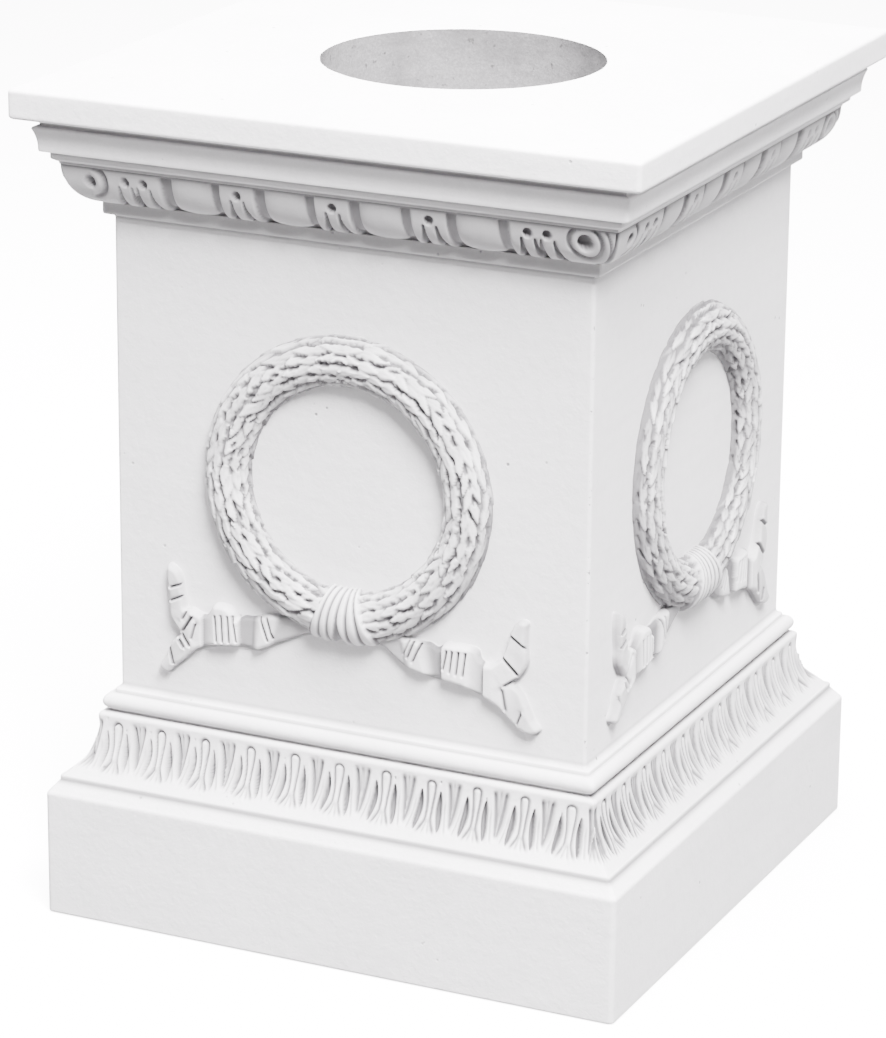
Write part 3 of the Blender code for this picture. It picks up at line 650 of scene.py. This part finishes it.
# Wreath: a half-round roll of laurel, cast with the shaft in the same stone and the same on every
# face. Its leaves lap down both sides from the crown to the foot, where a wrapped cord binds it.
WREATH_RADIUS, ROLL_HALF, ROLL_RISE = 0.0785, 0.0140, 0.0114
WREATH_MIDDLE = (SHAFT_BOTTOM + SHAFT_TOP) / 2
BINDING_HALF, BINDING_FLARE, STRANDS = 0.209, 0.050, 6
LAUREL_ROWS, LAUREL_STEP, LAUREL_ROW_WIDTH = 8, 0.0098, 0.0058
LAUREL_LONG, LAUREL_WIDE, LAUREL_CROWN, LAUREL_VEIN = 0.0165, 0.0037, 0.0023, 0.0003
SLOT_LONG, SLOT_WIDE, SLOT_DEPTH = 0.0034, 0.00104, 0.0024
STRAND_FOOT, STRAND_RISE, PARTING_TURN, PARTING_HALF = 0.0012, 0.0030, 0.018, 0.058
WREATH_ROOT = -0.004
NEAR_MESH, FAR_MESH = (840, 62), (520, 44)  # points around the ring and across the roll
# How much each face's painted shade on the wreath is strengthened; the right face is darkened most, in
# place of its shade.
WREATH_PAINTED_SHADE_GAIN = (1.0, 1.55, 1.1, 1.1)


def laurel_leaves(length, breadth, down_side, random):
    """Height of the laurel leaves over the roll, and the slots cut beside them; the highest leaf shows."""
    lift = 0.0 * length * breadth
    slots = lift.copy()
    reach = math.pi * WREATH_RADIUS
    for side in (1.0, -1.0):
        on_side = (down_side[0] == side) | (length[0] > reach - 0.012)
        for row in range(LAUREL_ROWS):
            for step in range(int(reach / LAUREL_STEP) + 2):
                vary = random.uniform(-1, 1, 9)
                tip = (step + 0.5 * (row % 2)) * LAUREL_STEP + 0.0020 * vary[0]
                middle = (row - (LAUREL_ROWS - 1) / 2) * LAUREL_ROW_WIDTH + 0.0011 * vary[1]
                long, wide = LAUREL_LONG + 0.0028 * vary[2], LAUREL_WIDE + 0.0006 * vary[3]
                lean = 0.24 * vary[4] + (0.10, -0.10)[row % 2]
                crown = LAUREL_CROWN + 0.0006 * vary[5]
                near = np.nonzero((length[0] > tip - 0.001) & (length[0] < tip + long) & on_side)[0]
                if len(near) == 0:
                    continue
                u = (length[:, near] - tip) / long
                aside = breadth - middle - lean * (u - 0.3) * long
                v = aside / wide
                outline = np.clip(1.9 * u, 0, 1) ** 0.85 * np.clip(1.8 * (1 - u), 0, 1) ** 0.5
                inside = np.clip(1 - (np.abs(v) / np.maximum(outline, 1e-3)) ** 2.2, 0, 1)
                body = inside ** 0.5 * crown * (1 - 0.62 * np.clip(u, 0, 1)) - LAUREL_VEIN * groove(v, 0.16)
                lift[:, near] = np.maximum(lift[:, near], np.where((u > 0) & (inside > 0), body, 0))
                if vary[6] > -0.70:
                    edge = wide * (0.80 if vary[7] > 0 else -0.80)
                    ahead = (u - 0.22 - 0.12 * vary[8]) * long
                    across = aside - edge + (0.30 * vary[7]) * ahead
                    off = np.hypot(ahead / (SLOT_LONG + 0.0006 * vary[2]), across / SLOT_WIDE)
                    slots[:, near] = np.maximum(slots[:, near], np.clip(1 - off ** 2, 0, 1) ** 0.6)
    return lift, slots


def wreath_shell(around, across):
    """The wreath in its face's own frame, x right, y out of the stone and z up, root rows last."""
    turn = np.linspace(0, 2 * math.pi, around, endpoint=False)[None, :]
    over = np.radians(np.linspace(-12, 192, across))[:, None]
    from_foot = np.minimum(turn, 2 * math.pi - turn)
    down_side = np.where(turn < math.pi, 1.0, -1.0)
    breadth = (over - math.pi / 2) * (ROLL_HALF + ROLL_RISE) / 2 * 1.05
    lift, slots = laurel_leaves(from_foot * WREATH_RADIUS, breadth, down_side, np.random.default_rng(23))
    edge = smoothstep(-12, 4, np.degrees(over)) * smoothstep(192, 176, np.degrees(over))
    cavity = np.clip(soften(lift, 5, True) - lift, 0, 0.001)
    sunk = np.clip(1 - lift / 0.0026, 0, 1)
    lift = (lift - 0.7 * cavity - SLOT_DEPTH * slots) * edge
    signed = np.where(turn < math.pi, turn, turn - 2 * math.pi)
    bind_half = BINDING_HALF + BINDING_FLARE * np.cos(over)
    bound = smoothstep(1.02, 0.94, np.abs(signed) / bind_half)
    phase = (signed / bind_half + 1) / 2 * STRANDS + 0.25 * np.sin(1.4 * over + 2.2 * signed / bind_half)
    strand = np.abs(phase % 1.0 - 0.5) * 2
    parting = PARTING_HALF * np.clip((1.90 - over) / 1.2, 0, 1) + 1e-6
    parted = smoothstep(1.0, 0.35, np.abs(signed + PARTING_TURN) / parting)
    cord = STRAND_FOOT + STRAND_RISE * np.sqrt(np.clip(1 - strand ** 2.2, 0, 1)) * (1 - 0.75 * parted)
    lift = lift * (1 - bound) + cord * bound * edge ** 0.4
    roll = ROLL_HALF + lift * 0.9
    out = WREATH_RADIUS + roll * np.cos(over)
    shell = np.stack([out * np.sin(turn), (ROLL_RISE + lift) * np.sin(over), -out * np.cos(turn)], -1)
    # Painted shade: the binding's gaps, low parts of the leaves, their pits and slots, flanks that face
    # down and the roll's contact with the stone, darkened in place of shadow.
    gaps = np.maximum(smoothstep(0.45, 1.0, strand), parted)
    gaps = gaps + 0.20 + 0.30 * np.clip(np.cos(over), 0, 1) ** 2
    under = smoothstep(26, 4, np.degrees(over)) * (0.20 + 0.45 * (1 + np.cos(turn)) / 2)
    under = under + smoothstep(154, 176, np.degrees(over)) * (0.20 + 0.45 * (1 - np.cos(turn)) / 2)
    flank = 0.24 * (1 - np.sin(np.clip(over, 0, math.pi))) ** 1.5
    flank = flank + 0.42 * np.clip(np.cos(turn) * np.cos(over), 0, 1)
    leafy = np.clip(np.clip(cavity / 0.0007, 0, 1) * 0.45 + slots + 0.70 * sunk + flank, 0, 1)
    shade = np.clip(leafy * (1 - bound) + gaps * bound + under, 0, 1)
    root = shell[[-1, 0]].copy()
    root[:, :, 1] = WREATH_ROOT
    shell = np.concatenate([shell, root])
    rows = len(shell)
    i, j = np.meshgrid(np.arange(rows), np.arange(around), indexing="ij")
    wrap, after = (i + 1) % rows, (j + 1) % around
    faces = np.stack([i * around + j, wrap * around + j, wrap * around + after, i * around + after], -1)
    shade = np.concatenate([shade, np.ones((2, around))])
    return shell.reshape(-1, 3), [faces.reshape(-1, 4)], shade.ravel()


def on_face(points, turn, drop=0.0):
    """Carry points from a face's own frame, x right, y out of the stone, z up, to one of the faces."""
    x, out, up = points.T
    return quarter_turn(np.column_stack([x, -SHAFT_HALF - out, up + WREATH_MIDDLE + drop]), turn)


near_wreath, far_wreath = wreath_shell(*NEAR_MESH), wreath_shell(*FAR_MESH)
for turn, face in enumerate(FACES):
    points, faces, shade = near_wreath if turn < 2 else far_wreath
    with_painted_shade = np.clip(shade * WREATH_PAINTED_SHADE_GAIN[turn], 0, 1)
    link_piece("wreath_" + face, on_face(points, turn), faces, with_painted_shade)

# Ribbons: a tail of ribbon leaves the binding on each side in low relief, cast with the shaft in the
# same stone. It is gathered in folds that are scored with slots, and parts in a swallow tail. The two
# differ a little, as they were modelled by hand.
BINDING_DROP = -WREATH_RADIUS
# How much each face's painted shade on the ribbons is strengthened; the right face is darkened most.
RIBBON_PAINTED_SHADE_GAIN = (1.0, 1.3, 1.1, 1.1)
# The rest is in millimetres, outward and up from the middle of the binding: the mesh's spacings, the
# rounded shoulder, the least height, where the fork begins and how its folds lap. Then come each tail's
# outline, its height over the shaft along its run, and its cuts, as (start, end, width, depth).
EDGE_SPACING, COARSE_SPACING, FINE_SPACING = 0.8, 0.95, 0.5
SHOULDER, LEAST_HEIGHT, FORK, LAP_HEIGHT, LAP_REACH = 2.6, 1.2, 100, 0.9, 2.8
RIGHT_EDGE = [(12, -11), (22, -13.5), (28, -17), (36, -23), (42, -25.6), (51, -27.4), (60, -28.8),
              (68, -29.3), (77, -30.7), (90, -35.2), (97, -38), (102.3, -42), (107.3, -46.8),
              (112.4, -51.2), (117.5, -53.4), (122.3, -54), (126, -52), (126.2, -49.6), (123, -45.6),
              (120.9, -41), (118.5, -35.6), (115.7, -30.2), (112.2, -26), (109.2, -24.2), (112.4, -21),
              (116.6, -15.3), (118.6, -9), (118.0, 0.7), (118.0, 9.6), (118.2, 14.2), (114.4, 15.6),
              (110.6, 13.2), (108.2, 9), (106.2, 3), (104, -4.4), (101.6, -9.6), (95.8, -14),
              (91, -14.3), (88.4, -12.4), (86.3, -7.3), (81.5, -5.9), (74, -5.7), (66, -6.0),
              (63, -8.2), (60, -9.9), (55, -7.8), (50.6, -7.8), (38, -6.2), (24, -5), (12, -5)]
LEFT_EDGE = [(12, -12), (23, -14.2), (28, -15.6), (37, -19.9), (46, -24.2), (52.3, -27.5), (59, -30.3),
             (65, -30.3), (69.5, -29.8), (78, -30.5), (88.6, -32.4), (96, -34.6), (102, -37.8),
             (105.3, -41), (109, -45), (114.6, -49.5), (118.8, -53.6), (122.8, -53.4), (125.4, -51.2),
             (125, -49), (123.3, -46.5), (121, -43.2), (119.2, -39), (117.4, -34.8), (114, -30.6),
             (110.8, -27.9), (113.5, -23.6), (117, -19), (118.4, -14.2), (118.6, -7.3), (119.6, 1),
             (120.1, 7.8), (119.4, 14.2), (117.4, 14.8), (113, 12.2), (110.2, 7.3), (109.2, 0.6),
             (108.2, -5.5), (107.2, -11.4), (102.8, -11.2), (97.4, -13.7), (93.8, -13.9), (91, -10.8),
             (88.7, -7), (85.4, -5.3), (78.2, -5.9), (74.6, -8.7), (72.4, -12.6), (67.4, -10.4),
             (62, -10.2), (55.7, -8.2), (48.5, -6.5), (37, -6), (24, -6), (12, -6)]
RIGHT_RUN = [(12, 5.0), (24, 4.2), (38, 4.4), (41.5, 6.3), (50, 6.6), (52.5, 5.6), (57, 3.0),
             (63.6, 3.2), (64.4, 6.9), (72, 7.6), (80, 7.1), (83, 5.8), (90.6, 3.6), (91.3, 6.6),
             (97, 6.9), (104, 6.2), (112, 5.6), (127, 6.0)]
LEFT_RUN = [(12, 5.0), (24, 4.2), (46, 4.4), (48.5, 6.3), (56, 6.6), (58.5, 5.6), (62, 3.1),
            (70.4, 3.2), (71.2, 7.0), (79, 7.6), (86.5, 7.0), (89.5, 5.8), (95.6, 3.6), (96.3, 6.4),
            (102, 6.8), (110, 6.0), (127, 6.0)]
RIGHT_CUTS = [(46.4, -6.6, 41.4, -18.6, 0.75, 3.2), (50.4, -8.6, 45.0, -20.6, 0.75, 3.2),
              (43.0, -7.5, 38.8, -17.0, 0.7, 1.6), (67.6, -10.0, 65.2, -21.6, 0.75, 3.2),
              (71.3, -9.8, 69.6, -22.8, 0.75, 3.6), (75.4, -9.6, 73.8, -23.6, 0.75, 3.6),
              (79.8, -9.8, 78.0, -23.8, 0.75, 3.2), (103.6, -8.6, 112.4, -17.2, 1.0, 3.6),
              (104.6, -25.6, 112.0, -20.6, 0.9, 2.6), (108.6, 5.4, 117.0, -0.4, 0.9, 2.8),
              (103.4, -29.0, 105.4, -40.4, 1.7, 1.6), (115.4, -42.0, 112.8, -48.6, 0.9, 2.2)]
LEFT_CUTS = [(56.0, -9.0, 51.2, -22.8, 0.75, 3.4), (51.4, -8.8, 48.0, -20.8, 0.75, 3.2),
             (86.4, -12.6, 85.4, -28.6, 0.75, 3.4), (82.0, -11.8, 81.2, -28.0, 0.75, 3.6),
             (77.6, -11.6, 76.8, -27.6, 0.75, 3.2), (74.6, -11.2, 72.0, -26.8, 0.75, 2.8),
             (102.6, -15.8, 109.0, -25.6, 0.9, 3.4), (100.2, -20.0, 103.2, -29.6, 0.8, 2.0),
             (106.4, -13.4, 108.8, -17.6, 0.9, 1.8), (109.2, -28.0, 104.8, -34.4, 0.9, 2.8),
             (111.4, -32.2, 108.8, -36.0, 1.1, 2.0), (116.6, 1.0, 109.4, 3.8, 0.8, 2.8),
             (116.6, -7.4, 109.2, -3.8, 0.8, 2.8), (118.2, -38.2, 115.8, -47.6, 0.9, 2.6)]


def segment_distance(points, start, end):
    """Distance of each point from a straight line between two points."""
    along = end - start
    share = np.clip(((points - start) @ along) / (along @ along), 0, 1)[:, None]
    return np.linalg.norm(points - start - share * along, axis=1)


def rounded_edge(corners, spacing):
    """A closed smooth line through the corners, as points about so far apart."""
    corners = np.array(corners, float)
    points = []
    for i in range(len(corners)):
        a, b, c, d = (corners[(i + k) % len(corners)] for k in (-1, 0, 1, 2))
        steps = max(1, int(round(np.linalg.norm(c - b) / spacing)))
        for t in np.arange(steps) / steps:
            points.append(0.5 * (2 * b + (c - a) * t + (2 * a - 5 * b + 4 * c - d) * t ** 2
                                 + (3 * b - a - 3 * c + d) * t ** 3))
    return np.array(points)


def ribbon_tail(corners, run, cuts, side):
    """A ribbon tail as a low plate with folds and slots; side is 1 right of the binding, -1 left."""
    edge = rounded_edge(corners, EDGE_SPACING)
    lines = [(np.array(cut[0:2]), np.array(cut[2:4]), cut[4], cut[5]) for cut in cuts]
    low, high = edge.min(0), edge.max(0)

    def lattice(step):
        """Points in staggered rows inside the outline, and how far each is from it."""
        x, y = np.meshgrid(np.arange(low[0], high[0], step), np.arange(low[1], high[1], step * 0.866))
        x = x + 0.5 * step * (np.arange(x.shape[0]) % 2)[:, None]
        points = np.column_stack([x.ravel(), y.ravel()])
        after = np.roll(edge, -1, 0)
        crossing = ((edge[:, 1] > points[:, 1:]) != (after[:, 1] > points[:, 1:]))
        rise = np.where(after[:, 1] == edge[:, 1], 1e-9, after[:, 1] - edge[:, 1])
        at = edge[:, 0] + (points[:, 1:] - edge[:, 1]) / rise * (after[:, 0] - edge[:, 0])
        points = points[(crossing & (points[:, :1] < at)).sum(1) % 2 == 1]
        border = np.min([segment_distance(points, a, b) for a, b in zip(edge, after)], axis=0)
        return points[border > step * 0.45], border[border > step * 0.45]

    coarse, coarse_border = lattice(COARSE_SPACING)
    fine, fine_border = lattice(FINE_SPACING)

    def nearest(points):
        """Distance to the nearest cut, in widths of that cut."""
        return np.min([segment_distance(points, a, b) / width for a, b, width, _ in lines], axis=0)

    keep_coarse, keep_fine = nearest(coarse) > 2.4, nearest(fine) <= 2.2
    inner = np.vstack([coarse[keep_coarse], fine[keep_fine]])
    border = np.concatenate([coarse_border[keep_coarse], fine_border[keep_fine]])
    flat = np.vstack([edge, inner])
    loop = list(range(len(edge)))
    result = delaunay_2d_cdt([Vector(p) for p in flat], [], [loop], 1, 1e-5)
    flat = np.array([tuple(v) for v in result[0]])
    triangles = np.array([tuple(f) for f in result[2] if len(f) == 3])
    distance = np.concatenate([np.zeros(len(edge)), border])
    slant = flat[:, 0] + 0.30 * (flat[:, 1] + 18) * smoothstep(66, 50, flat[:, 0])
    body = np.interp(slant, [p[0] for p in run], [p[1] for p in run])
    shoulder = np.sqrt(np.clip(1 - (1 - np.clip(distance / SHOULDER, 0, 1)) ** 2, 0, 1))
    overlap = 0.0 * body
    for start, end, _, _ in lines:
        if start[0] > FORK:
            length = np.linalg.norm(end - start)
            way = (end - start) / length
            beside = (flat - start) @ np.array([-way[1], way[0]])
            onward = (flat - start) @ way
            reach = smoothstep(-3, 0, onward) * smoothstep(length + 3, length, onward)
            overlap += LAP_HEIGHT * np.sign(beside) * np.exp(-np.abs(beside) / LAP_REACH) * reach
    height = (body + overlap) * (0.42 + 0.58 * shoulder)
    cut_depth = np.max([depth * groove(segment_distance(flat, a, b), width)
                        for a, b, width, depth in lines], axis=0)
    height = np.maximum(height - cut_depth * smoothstep(0, 1.2, distance), LEAST_HEIGHT)
    front = np.column_stack([side * flat[:, 0], height, flat[:, 1]]) / 1000
    count, border_count = len(front), len(edge)
    run_on = np.roll(edge, -1, 0) - np.roll(edge, 1, 0)
    run_on = run_on / np.linalg.norm(run_on, axis=1)[:, None]
    swing = np.sign(np.sum(edge[:, 0] * np.roll(edge[:, 1], -1) - edge[:, 1] * np.roll(edge[:, 0], -1)))
    under = np.clip(swing * run_on[:, 0], 0, 1)
    # A skirt round the edge, widest below, that fades into the stone; it carries the painted shadow under
    # the ribbon.
    outward = swing * np.column_stack([run_on[:, 1], -run_on[:, 0]]) * (0.3 + 2.6 * under)[:, None]
    for _ in range(4):
        outward = (np.roll(outward, 1, 0) + 2 * outward + np.roll(outward, -1, 0)) / 4
    rings = [np.column_stack([side * ring[:, 0], np.full(border_count, out), ring[:, 1]]) / 1000
             for ring, out in ((edge, 0.12), (edge + outward, -0.05), (edge, -3.0))]
    here = np.arange(border_count)
    after = (here + 1) % border_count
    starts = [0, count, count + border_count, count + 2 * border_count]
    walls = [np.column_stack([low + here, low + after, high + after, high + here])
             for low, high in zip(starts[:-1], starts[1:])]
    # Painted shade: the valleys between folds, a band near the edge, the cuts, a dark line along the lower
    # edge, and painted shadow on the wall and skirt below.
    valley = 0.08 + 0.78 * np.clip((7.0 - body) / 3.6, 0, 1) + 0.20 * smoothstep(2.0, 0.3, distance)
    shade = np.clip(valley + cut_depth / 2.4 * smoothstep(0, 1.0, distance), 0, 1)
    shade[:border_count] = np.clip(shade[:border_count] + 0.75 * under, 0, 1)
    return (np.vstack([front, *rings]), [triangles, *walls, (starts[-1] + here)[None, :]],
            np.concatenate([shade, 0.35 + 0.65 * under, 0.10 * under, np.ones(border_count)]))


right_tail = ribbon_tail(RIGHT_EDGE, RIGHT_RUN, RIGHT_CUTS, 1)
left_tail = ribbon_tail(LEFT_EDGE, LEFT_RUN, LEFT_CUTS, -1)
for turn, face in enumerate(FACES):
    for side, (points, faces, shade) in (("right", right_tail), ("left", left_tail)):
        placed = on_face(points, turn, BINDING_DROP)
        with_painted_shade = np.clip(shade * RIBBON_PAINTED_SHADE_GAIN[turn], 0, 1)
        link_piece("ribbon_" + face + "_" + side, placed, faces, with_painted_shade, sharp=55)

# Floor and light: a pale, self-lit seamless sweep in a white room, under two big round soft boxes. The
# floor lies a hair below the underside, so that the two don't flicker in each other.
FLOOR_HALF, FLOOR_GAP = 9, 0.0002
LAMP_WHITE, WALL_WHITE = (1.0, 0.985, 1.0), (1.0, 0.985, 1.0, 1)
floor_data = bpy.data.meshes.new("floor")
floor_data.from_pydata([(x * FLOOR_HALF, y * FLOOR_HALF, -FLOOR_GAP)
                        for x, y in ((-1, -1), (1, -1), (1, 1), (-1, 1))], [], [(0, 1, 2, 3)])
floor = bpy.data.objects.new("floor", floor_data)
bpy.context.scene.collection.objects.link(floor)
floor_material = bpy.data.materials.new("pale sweep")
floor_material.use_nodes = True
floor_shader = floor_material.node_tree.nodes["Principled BSDF"]
floor_shader.inputs["Base Color"].default_value = (0.93, 0.92, 0.93, 1)
floor_shader.inputs["Roughness"].default_value = 0.95
floor_shader.inputs["Emission Color"].default_value = (1.0, 0.99, 1.0, 1)
floor_shader.inputs["Emission Strength"].default_value = 7.0
floor_data.materials.append(floor_material)
floor.visible_diffuse = False

world = bpy.data.worlds.new("white room")
bpy.context.scene.world = world
world.use_nodes = True
world.node_tree.nodes["Background"].inputs["Color"].default_value = WALL_WHITE
world.node_tree.nodes["Background"].inputs["Strength"].default_value = 0.75


def soft_light(name, place, aim, size, power):
    """A round soft box, size across in metres and power in watts, that faces the point aimed at."""
    data = bpy.data.lights.new(name, "AREA")
    data.shape, data.size, data.energy = "DISK", size, power
    data.color = LAMP_WHITE
    lamp = bpy.data.objects.new(name, data)
    lamp.location = place
    lamp.rotation_euler = (Vector(aim) - Vector(place)).to_track_quat("-Z", "Y").to_euler()
    bpy.context.scene.collection.objects.link(lamp)


soft_light("roof light", (-0.1, -0.1, 3.0), (0, 0, 0.5), 2.0, 820)
soft_light("key light", (1.40, -1.55, 2.75), (0, 0, 0.3), 1.3, 770)
